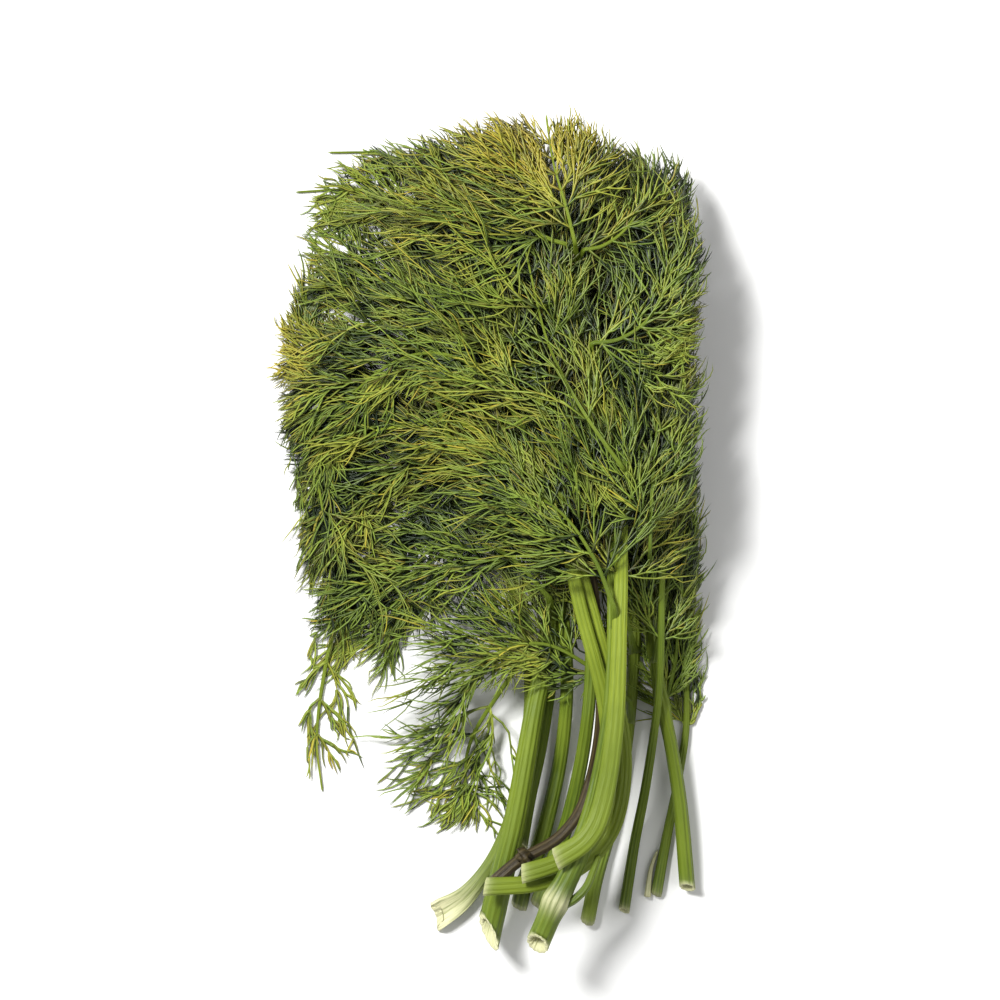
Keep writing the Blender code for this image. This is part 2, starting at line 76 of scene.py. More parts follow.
# Leaves: route of the midrib, bare share of it, pairs of plumes, longest plume, its angle, foot, and
# how yellow it is. "on" names the stem it grows from; the others have a cut end of their own. Some are
# less bushy, have stouter threads, or carry painted shade that darkens their threads (less than 0:
# painted light)
leaves = {
    "leaf_edge": dict(
        route=[(34.2, -78.6), (36.3, -67), (38.7, -55), (40.6, -42), (40, -26), (38.4, -8),
               (37.4, 12), (37, 30)],
        stalk=0.33, pairs=6, reach=11, angle=34, foot=(1.2, 1.2), age=0.3, shade=-0.42,
    ),
    "leaf_under": dict(
        route=[(5.2, -68), (7, -58), (10, -44), (13, -22), (14, 4), (14, 26), (20, 44), (25, 62),
               (27, 74)],
        stalk=0.5, pairs=6, reach=19, angle=46, foot=(1.6, 1.6), age=0.2,
    ),
    "leaf_low_left": dict(
        route=[(5, -81), (6.5, -75), (10, -66), (14, -48), (15, -28), (12, -8), (3, 4), (-12, 4),
               (-26, -6), (-33, -18)],
        stalk=0.56, pairs=6, reach=17, angle=48, foot=(1.8, 1.8), age=0.25,
    ),
    "leaf_cross": dict(
        route=[(8.9, -80.5), (12, -72), (15.5, -62), (19, -44), (20, -24), (17, -2), (8, 20),
               (-2, 36), (-12, 46), (-24, 52)],
        stalk=0.56, pairs=6, reach=20, angle=48, foot=(1.7, 1.7), age=0.2,
    ),
    "leaf_wilted": dict(
        route=[(-0.5, -75), (5, -70.5), (13.5, -65.5), (19, -57), (22, -40), (21, -16), (18, 8),
               (20, 30), (24, 48)],
        stalk=0.58, pairs=5, reach=15, angle=42, foot=(1.3, 1.1), age=0.3,
    ),
    "leaf_long_right": dict(
        route=[(27.3, -82), (29.5, -68), (32, -54), (34.5, -34), (35, -12), (35.5, 10), (36, 30),
               (37, 50)],
        stalk=0.44, pairs=6, reach=11, angle=36, foot=(1.2, 1.2), age=0.25, shade=-0.1,
    ),
    "leaf_strap_low": dict(
        route=[(-2.3, -75.8), (9.3, -75), (19, -71), (25.5, -62), (27, -46), (22, -24), (15, -2),
               (4, 14), (-10, 22), (-26, 20)],
        stalk=0.6, pairs=6, reach=19, angle=48, foot=(1.9, 0.9), age=0.75,
    ),
    "leaf_strap_mid": dict(
        route=[(5.5, -73), (13.5, -70.5), (20, -66), (23.5, -56), (23, -38), (17, -14), (12, 12),
               (8, 34), (9, 52), (8, 70)],
        stalk=0.56, pairs=6, reach=20, angle=48, foot=(2.0, 0.9), age=0.75,
    ),
    "leaf_strap_top": dict(
        route=[(12.5, -69.5), (19, -65), (22.5, -57), (25, -40), (26, -16), (27, 6), (31, 22),
               (33.5, 38)],
        stalk=0.56, pairs=5, reach=15, angle=44, foot=(2.3, 0.9), age=0.75,
    ),
    "leaf_lowest": dict(
        route=[(0.5, -7), (-14, -10), (-27, -13), (-34, -22), (-37, -34), (-38.2, -46), (-37, -57)],
        stalk=0.5, pairs=4, reach=9, angle=42, foot=(0.9, 0.8), on="stem_split", age=0.45,
        bushy=0.55, stout=1.35,
    ),
    "leaf_far_left": dict(
        route=[(-14, 29), (-26, 31), (-37, 30), (-40.5, 39), (-40.5, 50)],
        stalk=0.3, pairs=5, reach=11, angle=44, foot=(0.9, 0.8), on="stem_split", age=0.55,
    ),
    "leaf_droop": dict(
        route=[(-9, 15), (-15, 34), (-23, 43), (-33, 38), (-38, 22), (-37, 4), (-32, -12)],
        stalk=0.34, pairs=7, reach=12, angle=42, foot=(0.9, 0.8), on="stem_split", age=0.3,
        shade=0.2,
    ),
    "leaf_upper_left": dict(
        route=[(-16.5, 35), (-20, 47), (-27, 56), (-40, 59)],
        stalk=0.16, pairs=5, reach=17, angle=46, foot=(0.9, 0.8), on="stem_split", age=0.35,
        bushy=0.68,
    ),
    "leaf_hanging": dict(
        route=[(9, -24), (1, -35), (-6, -48), (-6, -64)],
        stalk=0.4, pairs=4, reach=13, angle=42, foot=(0.9, 0.8), on="stem_thick", age=0.3,
        bushy=0.7, stout=1.15,
    ),
    "leaf_left_mid": dict(
        route=[(10, 3), (-5, 13), (-20, 15), (-31, 5), (-36, -9)],
        stalk=0.24, pairs=6, reach=17, angle=46, foot=(0.9, 0.8), on="stem_thick", age=0.25,
        shade=0.12,
    ),
    "leaf_arc": dict(
        route=[(7, 19), (-4, 33), (-17, 36), (-30, 28), (-38, 14)],
        stalk=0.22, pairs=6, reach=17, angle=44, foot=(0.9, 0.8), on="stem_thick", age=0.35,
    ),
    "leaf_top_left": dict(
        route=[(0, 42), (-3, 62), (-12, 74), (-24, 79), (-36, 79.5)],
        stalk=0.24, pairs=6, reach=16, angle=40, foot=(0.9, 0.8), on="stem_thick", age=0.35,
        bushy=0.72,
    ),
    "leaf_plume": dict(
        route=[(-2, 48), (-8, 61), (-19, 69), (-30, 71.5), (-43, 71)],
        stalk=0.16, pairs=6, reach=17, angle=42, foot=(0.9, 0.8), on="stem_thick", age=0.4,
        bushy=0.8,
    ),
    "leaf_low_mid": dict(
        route=[(12, -16), (2, -6), (-9, -5), (-19, -13), (-24, -25)],
        stalk=0.24, pairs=6, reach=16, angle=46, foot=(0.9, 0.8), on="stem_thick", age=0.25,
    ),
    "leaf_low_right": dict(
        route=[(28.5, -23), (25, -10), (18, 0), (7, 5)],
        stalk=0.24, pairs=5, reach=16, angle=46, foot=(0.9, 0.8), on="stem_mid", age=0.25,
    ),
    "leaf_inner": dict(
        route=[(27, 11), (18, 24), (11, 38), (7, 54), (3, 74)],
        stalk=0.2, pairs=6, reach=19, angle=46, foot=(0.9, 0.8), on="stem_mid", age=0.45,
    ),
    "leaf_mid_top": dict(
        route=[(29, 32), (30, 46), (31, 60), (29, 75)],
        stalk=0.12, pairs=6, reach=15, angle=42, foot=(0.9, 0.8), on="stem_mid", age=0.35,
        bushy=0.6,
    ),
    "leaf_mid_low": dict(
        route=[(29, -38), (20, -30), (10, -25), (0, -27), (-7, -35)],
        stalk=0.24, pairs=6, reach=15, angle=46, foot=(0.9, 0.8), on="stem_mid", age=0.2,
    ),
    "leaf_right_foot": dict(
        route=[(36, -38), (38.3, -28), (38.6, -16), (38, -3)],
        stalk=0.04, pairs=5, reach=9, angle=36, foot=(0.9, 0.8), on="stem_right", age=0.2,
        shade=-0.42,
    ),
    "leaf_right_low": dict(
        route=[(34, -25), (36.2, -13), (37, 1), (36.5, 17)],
        stalk=0.12, pairs=6, reach=10, angle=38, foot=(0.9, 0.8), on="stem_right", age=0.2,
        shade=-0.2,
    ),
    "leaf_right_mid": dict(
        route=[(32, -6), (32.5, 9), (34, 24), (36.5, 41)],
        stalk=0.14, pairs=6, reach=12, angle=40, foot=(0.9, 0.8), on="stem_right", age=0.25,
    ),
    "leaf_right_top": dict(
        route=[(36, 34), (37, 48), (36.5, 61), (34, 72), (28, 80)],
        stalk=0.12, pairs=6, reach=12, angle=40, foot=(0.9, 0.8), on="stem_right", age=0.4,
        bushy=0.8,
    ),
    "leaf_crown_low": dict(
        route=[(25, -18), (20, -6), (12, 4), (0, 8)],
        stalk=0.2, pairs=6, reach=17, angle=46, foot=(1.0, 0.9), on="stem_crown", age=0.3,
    ),
    "leaf_node_left": dict(
        route=[(17.5, 44.5), (6, 47), (-6, 51), (-19, 52)],
        stalk=0.16, pairs=5, reach=18, angle=46, foot=(0.9, 0.8), on="stem_crown", age=0.45,
    ),
    "leaf_node_right": dict(
        route=[(19, 38), (26, 39), (32.5, 44), (37, 54)],
        stalk=0.1, pairs=5, reach=13, angle=44, foot=(0.9, 0.8), on="stem_crown", age=0.35,
    ),
    "leaf_crown_left": dict(
        route=[(16.2, 58.4), (10, 60.5), (4, 65), (-2, 72), (-6, 81)],
        stalk=0.2, pairs=5, reach=16, angle=44, foot=(0.9, 0.8), on="stem_crown", age=0.6,
    ),
    "leaf_crown_right": dict(
        route=[(17.4, 57.6), (22.5, 58.5), (28, 63), (33, 72)],
        stalk=0.08, pairs=4, reach=13, angle=42, foot=(0.9, 0.8), on="stem_crown", age=0.4,
        bushy=0.6,
    ),
    "leaf_crown": dict(
        route=[(16.7, 58), (14.5, 67), (12, 76), (10.5, 86.5)],
        stalk=0.14, pairs=6, reach=17, angle=44, foot=(0.9, 0.8), on="stem_crown", age=0.6,
    ),
}

# How a leaf divides: its plumes branch, branches carry threads, and threads fork. Each kind grows at
# these shares of its parent's length, at least so long plus a share of the parent, less so much of that
# towards the parent's tip, at an angle, and in full number on parents of the full length. After them
# come what bends a curve (degrees it rises, sweep back, wander of its own and with its neighbours,
# droop, drift) and the radius of plume, branch, thread and fork
feather = dict(
    tipShare=0.24, taper=0.62, inwardShort=0.9, forward=24.0, longer=1.05,
    branch=dict(
        at=(0.06, 0.24, 0.44, 0.64, 0.84), least=4.5, share=0.56, taper=0.5, angle=27.0, full=9.0,
    ),
    thread=dict(at=(0.16, 0.42, 0.68), least=4.4, share=0.42, taper=0.4, angle=18.0, full=10.0),
    fork=dict(at=(0.34,), least=2.2, share=0.4, taper=0.0, angle=15.0, full=16.0),
    rise=11.0, sweep=0.55, wander=0.17, kinship=0.22, droop=0.08, flow=0.34,
    radius=(0.34, 0.27, 0.23, 0.2),
)

# The outline that the threads keep to: mm along one side, and how far out the edge lies there. Their
# tips end short of it by so much, more or less
outline = dict(
    left=((-90, -10, 10, 20, 45, 52, 72, 90), (39, 40, 41, 45.5, 45.5, 41, 38, 30)),
    right=((-90, 60, 76, 90), (43, 43, 41, 34)),
    top=((-45, -38, -30, -18, -3, 14, 22, 31, 40, 46), (62, 74, 79, 81, 85, 86, 84, 79.5, 78, 70)),
    bottom=((-45, -30, -20, 0, 20), (54, 55, 63, 64, 90)),
    short=0.6, ragged=1.6,
)

# Painted shade in the threads' colour, from the threads over each millimetre of the table: the corner and
# number of the cells they are counted in, and how much painted shade one thread casts on those under it
shadeGrid = dict(low=(-65, -110, 0), cells=(130, 220, 40), share=0.22)

# How fresh the threads look, with painted shade: their tone, its spread and how much painted shade
# darkens the deep ones, then the share of the leaf's age they show, its spread, the few that have turned
# and by how much, what stays green, and how much greener the painted shade keeps the deep ones
freshnessAndShade = dict(
    tone=0.76, toneSpread=0.24, shadeLoss=1.12, ageShare=0.55, ageSpread=0.15, turned=0.05, turnedBy=0.45,
    green=0.12, shadeGreen=0.45,
)


# Even points on a Catmull-Rom curve: each span is the cubic through its two ends whose slopes are
# half the step between the neighbours on either side
def curveThrough(points, spacing):
    given = np.array(points, float)
    ends = np.vstack([2 * given[0] - given[1], given, 2 * given[-1] - given[-2]])
    t = np.linspace(0, 1, 24, endpoint=False)[None, :, None]
    a, b, c, d = (ends[k : len(ends) - 3 + k, None] for k in range(4))
    square, cube = 2 * a - 5 * b + 4 * c - d, 3 * b - a - 3 * c + d
    spans = 0.5 * (2 * b + (c - a) * t + square * t**2 + cube * t**3)
    fine = np.vstack([spans.reshape(-1, given.shape[1]), given[-1:]])
    along = np.concatenate([[0], np.cumsum(np.linalg.norm(np.diff(fine, axis=0), axis=1))])
    at = np.linspace(0, along[-1], max(3, round(along[-1] / spacing) + 1))
    return np.stack([np.interp(at, along, fine[:, k]) for k in range(fine.shape[1])], axis=1), at


# Vectors divided by their own length
def unit(vectors):
    return vectors / np.maximum(np.linalg.norm(vectors, axis=-1, keepdims=True), 1e-9)


# The solid of one piece, ready to be hit by plumb lines
def solidOf(name):
    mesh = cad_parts[name].data
    corners = [vertex.co.copy() for vertex in mesh.vertices]
    return BVHTree.FromPolygons(corners, [face.vertices[:] for face in mesh.polygons])


# Lifts points of a plan to the middle of the solid they lie on: half way between where a plumb line
# enters it and leaves it. Points beside the solid take the height between their neighbours'
def liftToSolid(solid, plan):
    heights = np.full(len(plan), np.nan)
    for k, (x, y) in enumerate((plan - routeMiddle) * mm):
        top = solid.ray_cast(Vector((x, y, 1)), Vector((0, 0, -1)))[0]
        low = solid.ray_cast(Vector((x, y, -1)), Vector((0, 0, 1)))[0]
        if top is not None and low is not None:
            heights[k] = (top.z + low.z) / 2 / mm
    hit = ~np.isnan(heights)
    heights = np.interp(np.arange(len(plan)), np.flatnonzero(hit), heights[hit])
    return np.column_stack([plan - routeMiddle, heights])


# A mesh from arrays: quads and triangles as rows of vertex numbers, attributes as one value a vertex,
# and a UV for each corner in the order of the faces. Lengths come in as millimetres, and nothing sinks
# into the table
def newPiece(name, points, quads, triangles, attributes, uv):
    points = np.column_stack([points[:, :2], np.maximum(points[:, 2], 0.02)])
    mesh = bpy.data.meshes.new(name)
    mesh.vertices.add(len(points))
    mesh.vertices.foreach_set("co", (points * mm).astype(np.float32).ravel())
    corners = np.concatenate([quads.ravel(), triangles.ravel()]).astype(np.int32)
    sizes = np.concatenate([np.full(len(quads), 4), np.full(len(triangles), 3)]).astype(np.int32)
    mesh.loops.add(len(corners))
    mesh.loops.foreach_set("vertex_index", corners)
    mesh.polygons.add(len(sizes))
    starts = np.concatenate([[0], np.cumsum(sizes)[:-1]]).astype(np.int32)
    mesh.polygons.foreach_set("loop_start", starts)
    mesh.polygons.foreach_set("loop_total", sizes)
    mesh.polygons.foreach_set("use_smooth", np.ones(len(sizes), bool))
    layer = mesh.uv_layers.new(name="stalk")
    layer.uv.foreach_set("vector", uv.astype(np.float32).ravel())
    for key, values in attributes.items():
        attribute = mesh.attributes.new(key, "FLOAT", "POINT")
        attribute.data.foreach_set("value", values.astype(np.float32).ravel())
    mesh.update(calc_edges=True)
    mesh.validate()
    piece = bpy.data.objects.new(name, mesh)
    bpy.context.scene.collection.objects.link(piece)
    return piece


# Parts of one piece put together: their points in a row, and each part's faces counted on from there
def gather(parts):
    starts = np.cumsum([0] + [len(p["points"]) for p in parts])
    points = np.vstack([p["points"] for p in parts])
    quads = np.vstack([p["quads"] + start for p, start in zip(parts, starts)])
    triangles = np.vstack([p["triangles"] + start for p, start in zip(parts, starts)])
    keys = parts[0]["attributes"]
    attributes = {key: np.concatenate([p["attributes"][key] for p in parts]) for key in keys}
    uv = np.vstack([p["uvQuads"] for p in parts] + [p["uvTriangles"] for p in parts])
    return points, quads, triangles, attributes, uv


# Threads: round each curve goes a ring of three points at every knot but the last, at the radius
# r(t) = r0 (1 - 0.35 t) sqrt(1 - t^4), and the last knot is the point of the thread
def threadTubes(curves, radius, tone, age, sides=3):
    count, knots, _ = curves.shape
    t = np.linspace(0, 1, knots)
    ahead = unit(np.gradient(curves, axis=1))
    across = unit(np.cross(ahead, np.array([0.03, 0.02, 1.0])))
    above = np.cross(across, ahead)
    r = radius[:, None] * ((1 - 0.35 * t) * np.sqrt(1 - t**4))[None, :]
    turn = 2 * math.pi * np.arange(sides) / sides
    outward = (
        np.cos(turn)[:, None] * across[:, :-1, None] + np.sin(turn)[:, None] * above[:, :-1, None]
    )
    ring = curves[:, :-1, None] + r[:, :-1, None, None] * outward
    size = (knots - 1) * sides + 1
    points = np.concatenate([ring.reshape(count, -1, 3), curves[:, -1:]], axis=1).reshape(-1, 3)
    start = (np.arange(count) * size)[:, None, None]
    row = (np.arange(knots - 2) * sides)[None, :, None]
    here, following = np.arange(sides), (np.arange(sides) + 1) % sides
    corners = (following, here, here + sides, following + sides)
    quads = np.stack([start + row + k for k in corners], axis=-1)
    last = start[..., 0] + (knots - 2) * sides
    point = np.broadcast_to(last + sides, (count, sides))
    tips = np.stack([last + following, last + here, point], axis=-1)
    bases = (start[..., 0] + here)[:, None]
    along = np.broadcast_to(np.concatenate([np.repeat(t[:-1], sides), [1]]), (count, size))
    quads = quads.reshape(-1, 4)
    triangles = np.vstack([tips.reshape(-1, 3), bases.reshape(-1, 3)])
    return dict(
        points=points, quads=quads, triangles=triangles,
        attributes=dict(
            tone=np.repeat(tone, size), age=np.repeat(age, size),
            along=along.ravel(), cut=np.zeros(count * size),
        ),
        uvQuads=np.zeros((quads.size, 2)), uvTriangles=np.zeros((triangles.size, 2)),
    )


# Degrees anticlockwise from the right, and the turns made left of, below and right of these lines
drift = dict(way=150, downTurn=95, upTurn=62, leftOf=24, below=26, rightOf=22)


# The way the threads drift, shared by neighbours: up and to the left over the upper half, down at the
# left, and straight up at the right. Sines of the place make it waver
def flowAt(points):
    x, y = points[..., 0], points[..., 1]
    left = 1 / (1 + np.exp((x + drift["leftOf"]) / 7))
    low = 1 / (1 + np.exp((y - drift["below"]) / 9))
    right = 1 / (1 + np.exp((drift["rightOf"] - x) / 6))
    angle = drift["way"] + drift["downTurn"] * left * low - drift["upTurn"] * right
    angle = np.radians(angle) + 0.35 * np.sin(x / 6.1 + y / 9.3) + 0.3 * np.sin(y / 5.2 - x / 11)
    return np.stack([np.cos(angle), np.sin(angle), np.zeros_like(angle)], axis=-1)


# New curves that leave their parents at the given shares of their length, one to each side. Each sets
# off at an angle to its parent, sweeps back towards the parent's way and drifts with its neighbours:
# p(t) = p0 + L (t d0 + t^2 / 2 (d1 - d0) + wave sin(pi w t) across). Short parents carry fewer
def sprout(parents, kind, knots, luck, share=1.0):
    places = np.array(kind["at"])
    count, steps, _ = parents.shape
    spots = np.clip(places[None, :] + luck.normal(0, 0.06, (count, len(places))), 0.03, 0.97)
    place = spots * (steps - 1)
    whole = np.minimum(place.astype(int), steps - 2)
    part = (place - whole)[..., None]
    row = np.arange(count)[:, None]
    root = parents[row, whole] * (1 - part) + parents[row, whole + 1] * part
    way = unit(parents[row, whole + 1] - parents[row, whole])
    lengths = np.linalg.norm(np.diff(parents, axis=1), axis=2).sum(axis=1)[:, None]
    reach = kind["least"] + lengths * kind["share"] * (1 - kind["taper"] * spots)
    root, way = (np.repeat(each[:, :, None], 2, axis=2) for each in (root, way))
    shape = root.shape[:3]
    side = np.array([1.0, -1.0])[None, None, :, None]
    across = unit(np.cross([0, 0, 1.0], way)) * side
    above = np.array([0, 0, 1.0])
    opening = np.radians(kind["angle"]) * (1 + luck.normal(0, 0.34, shape))[..., None]
    rise = np.radians(feather["rise"]) * luck.normal(0, 1, shape)[..., None]
    outward = across * np.cos(rise) + above * np.sin(rise)
    first = unit(way * np.cos(opening) + outward * np.sin(opening))
    noise = luck.normal(0, feather["wander"], (*shape, 3))
    noise = noise + luck.normal(0, feather["kinship"], (count, 1, 1, 3))
    noise[..., 2] *= 0.4
    second = unit(
        first * (1 - feather["sweep"]) + way * feather["sweep"] + noise
        + feather["flow"] * flowAt(root) - above * feather["droop"]
    )
    size = (reach[:, :, None] * np.clip(luck.lognormal(-0.05, 0.34, shape), 0.4, 2.0))[..., None, None]
    t = np.linspace(0, 1, knots)[:, None]
    swing = luck.normal(0, 0.045, (*shape, 1, 1))
    wave = swing * np.sin(math.pi * luck.uniform(1, 2.4, (*shape, 1, 1)) * t)
    curve = root[..., None, :] + size * (
        t * first[..., None, :] + t**2 / 2 * (second - first)[..., None, :] + wave * across[..., None, :]
    )
    kept = luck.random(shape) < share * np.clip(lengths / kind["full"], 0.3, 1)[..., None]
    return curve[kept]


# The bunch keeps the outline of the tray it lay in: a curve whose tip is d past the edge shrinks towards
# its root by 1 - d / length, and a curve with next to nothing left is dropped
def keptInside(curves, luck):
    root, tip = curves[:, :1], curves[:, -1]
    x, y = tip[:, 0], tip[:, 1]
    past = np.stack([
        x - np.interp(y, *outline["right"]), -x - np.interp(y, *outline["left"]),
        y - np.interp(x, *outline["top"]), -y - np.interp(x, *outline["bottom"]),
    ]).max(axis=0)
    past = past + luck.normal(outline["short"], outline["ragged"], len(curves))
    length = np.linalg.norm(tip - root[:, 0], axis=1)
    share = np.minimum(1 - past / np.maximum(length, 0.1), 1)
    stays = share > 0.15
    return (root + (curves - root) * share[:, None, None])[stays]


# Where the bunch has turned yellow: the tips at the top in the middle, and the leaf at the far left
def ripeness(points):
    x, y = points[..., 0], points[..., 1]
    top = np.exp(-(((x - 6) / 17) ** 2) - ((y - 84) / 13) ** 2)
    left = np.exp(-(((x + 47) / 6) ** 2) - ((y - 38) / 12) ** 2)
    low = np.exp(-(((x + 38) / 9) ** 2) - ((y + 56) / 12) ** 2)
    return 0.52 * top + 0.45 * left + 0.25 * low


# The plumes of one leaf, as curves of nine points: each starts on the midrib and bends towards the
# leaf's tip. The last one is the midrib's own end
def plumesOf(leaf, solid, plan, at):
    ahead = np.gradient(plan, axis=0)
    heading = np.unwrap(np.arctan2(ahead[:, 1], ahead[:, 0]))
    bend = np.gradient(heading, at)
    share = (np.arange(leaf["pairs"]) / leaf["pairs"]) ** 0.88
    bare = leaf["stalk"]
    roots = np.repeat(at[-1] * (bare + (1 - bare) * (1 - feather["tipShare"] * 0.6) * share), 2)
    side = np.tile([1.0, -1.0], leaf["pairs"])
    length = leaf["reach"] * (1 - feather["taper"] * np.repeat(share, 2))
    inward = side * np.interp(roots, at, bend) * length
    length = length * (1 - np.clip(feather["inwardShort"] * inward, -0.15, 0.55))
    turn = np.radians(leaf["angle"]) - np.radians(feather["forward"]) * np.array([0, 0.5, 1])
    angles = np.interp(roots, at, heading)[:, None] + side[:, None] * turn
    steps = np.stack([np.cos(angles), np.sin(angles)], axis=-1) * length[:, None, None] / 3
    start = np.stack([np.interp(roots, at, plan[:, k]) for k in range(2)], axis=-1)[:, None]
    stations = np.concatenate([start, start + np.cumsum(steps, axis=1)], axis=1)
    inner = stations.copy()
    inner[:, 3] = 0.12 * stations[:, 2] + 0.88 * stations[:, 3]  # the very point has no thickness to hit
    lifted = np.stack([liftToSolid(solid, row) for row in inner])
    lifted[:, :, :2] = stations - routeMiddle
    lifted[:, 1:, :2] = lifted[:, :1, :2] + feather["longer"] * (lifted[:, 1:, :2] - lifted[:, :1, :2])
    powers = np.vander(np.linspace(0, 1, 9), 4) @ np.linalg.inv(np.vander(np.linspace(0, 1, 4), 4))
    return np.einsum("ts,psk->ptk", powers, lifted), roots[-1]


# A stalk: rings of an ellipse, wide across and thick up, with fine ribs round it:
# across * wide * cos(a) * (1 + ribs), up * thick * sin(a) * (1 + ribs). A channel presses the upper
# side in. The first rings lie inside the cut end and close it with pale pith
def stalkTube(
    path, at, wide, thick, ribs, sides, age, channel=0.0, slant=0.0, cutEnd=True, pale=0.0, ringStep=0.9
):
    length = at[-1]
    s = np.linspace(0, length, max(8, round(length / ringStep)))
    scale = np.sqrt(np.clip(1 - np.clip((s - length + 1.2) / 1.2, 0, 1) ** 2, 0, 1))
    cut = np.exp(-s / 0.7) * 0.6
    if cutEnd:
        s = np.concatenate([[1.9, 1.7, 0.25, 0.0, 0.0], s])
        scale = np.concatenate([[0.3, 0.52, 0.66, 0.8, 0.96], scale])
        cut = np.concatenate([[0.6, 0.75, 0.85, 0.9, 0.9], cut])
    s, scale, cut = s[:-1], scale[:-1], cut[:-1]
    centre = np.stack([np.interp(s, at, path[:, k]) for k in range(3)], axis=1)
    ahead = unit(np.stack([np.interp(s, at, np.gradient(path[:, k])) for k in range(3)], axis=1))
    across = unit(np.cross([0, 0, 1.0], ahead))
    above = np.cross(ahead, across)
    w = np.interp(s, at, wide) * scale
    h = np.interp(s, at, thick) * scale
    a = 2 * math.pi * np.arange(sides) / sides - math.pi / 2
    rib = 1 + 0.05 * np.cos(ribs * a) * (1 if ribs else 0)
    channel, pale = (np.interp(s, at, np.broadcast_to(each, at.shape)) for each in (channel, pale))
    hollow = channel[:, None] * np.clip(np.sin(a), 0, 1) ** 2
    bare = pale[:, None] * np.clip(np.sin(a) * 1.6 + 0.5, 0, 1)
    push = slant * np.interp(s, [0, 5], [1, 0])[:, None] * w[:, None] * np.cos(a)
    rings = (
        centre[:, None]
        + across[:, None] * (w[:, None] * np.cos(a) * rib)[..., None]
        + above[:, None] * (h[:, None] * (np.sin(a) * rib - 1.5 * hollow))[..., None]
        + ahead[:, None] * push[..., None]
    )
    rows = len(s)
    poles = np.stack([rings[0].mean(axis=0), path[-1]])
    points = np.vstack([rings.reshape(-1, 3), poles])
    i, j = np.meshgrid(np.arange(rows - 1), np.arange(sides), indexing="ij")
    nxt = (j + 1) % sides
    corners = (i * sides + j, i * sides + nxt, (i + 1) * sides + nxt, (i + 1) * sides + j)
    quads = np.stack(corners, axis=-1).reshape(-1, 4)
    k = np.arange(sides)
    pole = rows * sides
    foot = np.stack([(k + 1) % sides, k, np.full(sides, pole)], axis=-1)
    last = (rows - 1) * sides
    head = np.stack([last + k, last + (k + 1) % sides, np.full(sides, pole + 1)], axis=-1)
    u = np.stack([j, j + 1, j + 1, j], axis=-1) / sides
    v = np.stack([s[i], s[i], s[i + 1], s[i + 1]], axis=-1) / 10
    uvTriangles = np.zeros((6 * sides, 2))
    cut = np.clip(cut[:, None] + bare, 0, 1)
    cutAll = np.concatenate([cut.ravel(), [0.7 if cutEnd else 0, 0]])
    along = np.concatenate([np.repeat(s / length, sides), [0, 1]])
    total = len(points)
    return dict(
        points=points, quads=quads, triangles=np.vstack([foot, head]),
        attributes=dict(tone=np.full(total, 0.5), age=np.full(total, age), along=along, cut=cutAll),
        uvQuads=np.stack([u, v], axis=-1).reshape(-1, 2), uvTriangles=uvTriangles,
    )


# A named socket of a group, with its first value
def groupSocket(group, name, kind, out, value=None):
    socket = group.interface.new_socket(name=name, in_out="OUTPUT" if out else "INPUT", socket_type=kind)
    if value is not None:
        socket.default_value = value


# A node with its settings
def addNode(tree, kind, **settings):
    node = tree.nodes.new(kind)
    for key, value in settings.items():
        setattr(node, key, value)
    return node


# first * (1 - factor) + second * factor, for two colours
def mixColour(tree, factor, first, second):
    node = addNode(tree, "ShaderNodeMix", data_type="RGBA")
    for key, value in (("Factor", factor), ("A", first), ("B", second)):
        kind = "VALUE" if key == "Factor" else "RGBA"
        socket = [each for each in node.inputs if each.name == key and each.type == kind][0]
        if isinstance(value, bpy.types.NodeSocket):
            tree.links.new(value, socket)
        else:
            socket.default_value = value
    return [x for x in node.outputs if x.type == "RGBA"][0]


# One sum on one or two values, kept between 0 and 1 where it is clamped
def calculate(tree, operation, first, second=None, clamp=False):
    node = addNode(tree, "ShaderNodeMath", operation=operation, use_clamp=clamp)
    for socket, value in zip(node.inputs, (first, second)):
        if isinstance(value, bpy.types.NodeSocket):
            tree.links.new(value, socket)
        elif value is not None:
            socket.default_value = value
    return node.outputs[0]


# Green that turns yellow: from dark green and painted shade to fresh by the tone, and to ripe by the age,
# most of all at the tip
def plantTone():
    group = bpy.data.node_groups.new("plantTone", "ShaderNodeTree")
    for name, kind, value in (
        ("Tone", "NodeSocketFloat", 0.5),
        ("Age", "NodeSocketFloat", 0.2),
        ("Along", "NodeSocketFloat", 0.0),
        ("Dark And Shade", "NodeSocketColor", (0.05, 0.08, 0.015, 1)),
        ("Fresh", "NodeSocketColor", (0.25, 0.32, 0.05, 1)),
        ("Ripe", "NodeSocketColor", (0.6, 0.5, 0.08, 1)),
        ("Mottle Scale", "NodeSocketFloat", 90.0),
    ):
        groupSocket(group, name, kind, False, value)
    groupSocket(group, "Colour", "NodeSocketColor", True)
    groupSocket(group, "Roughness", "NodeSocketFloat", True)
    given = group.nodes.new("NodeGroupInput").outputs
    result = group.nodes.new("NodeGroupOutput").inputs
    place = addNode(group, "ShaderNodeTexCoord").outputs["Object"]
    noise = addNode(group, "ShaderNodeTexNoise")
    noise.inputs["Detail"].default_value = 3
    group.links.new(place, noise.inputs["Vector"])
    group.links.new(given["Mottle Scale"], noise.inputs["Scale"])
    mottle = calculate(group, "SUBTRACT", noise.outputs["Fac"], 0.5)
    tone = calculate(group, "ADD", given["Tone"], calculate(group, "MULTIPLY", mottle, 1.3), clamp=True)
    green = mixColour(group, tone, given["Dark And Shade"], given["Fresh"])
    tipward = calculate(group, "ADD", calculate(group, "MULTIPLY", given["Along"], 0.55), 0.45)
    aged = calculate(group, "ADD", given["Age"], mottle)
    ripe = calculate(group, "MULTIPLY", aged, tipward, clamp=True)
    group.links.new(mixColour(group, ripe, green, given["Ripe"]), result["Colour"])
    rough = calculate(group, "ADD", calculate(group, "MULTIPLY", mottle, 0.5), 0.5, clamp=True)
    group.links.new(rough, result["Roughness"])
    return group


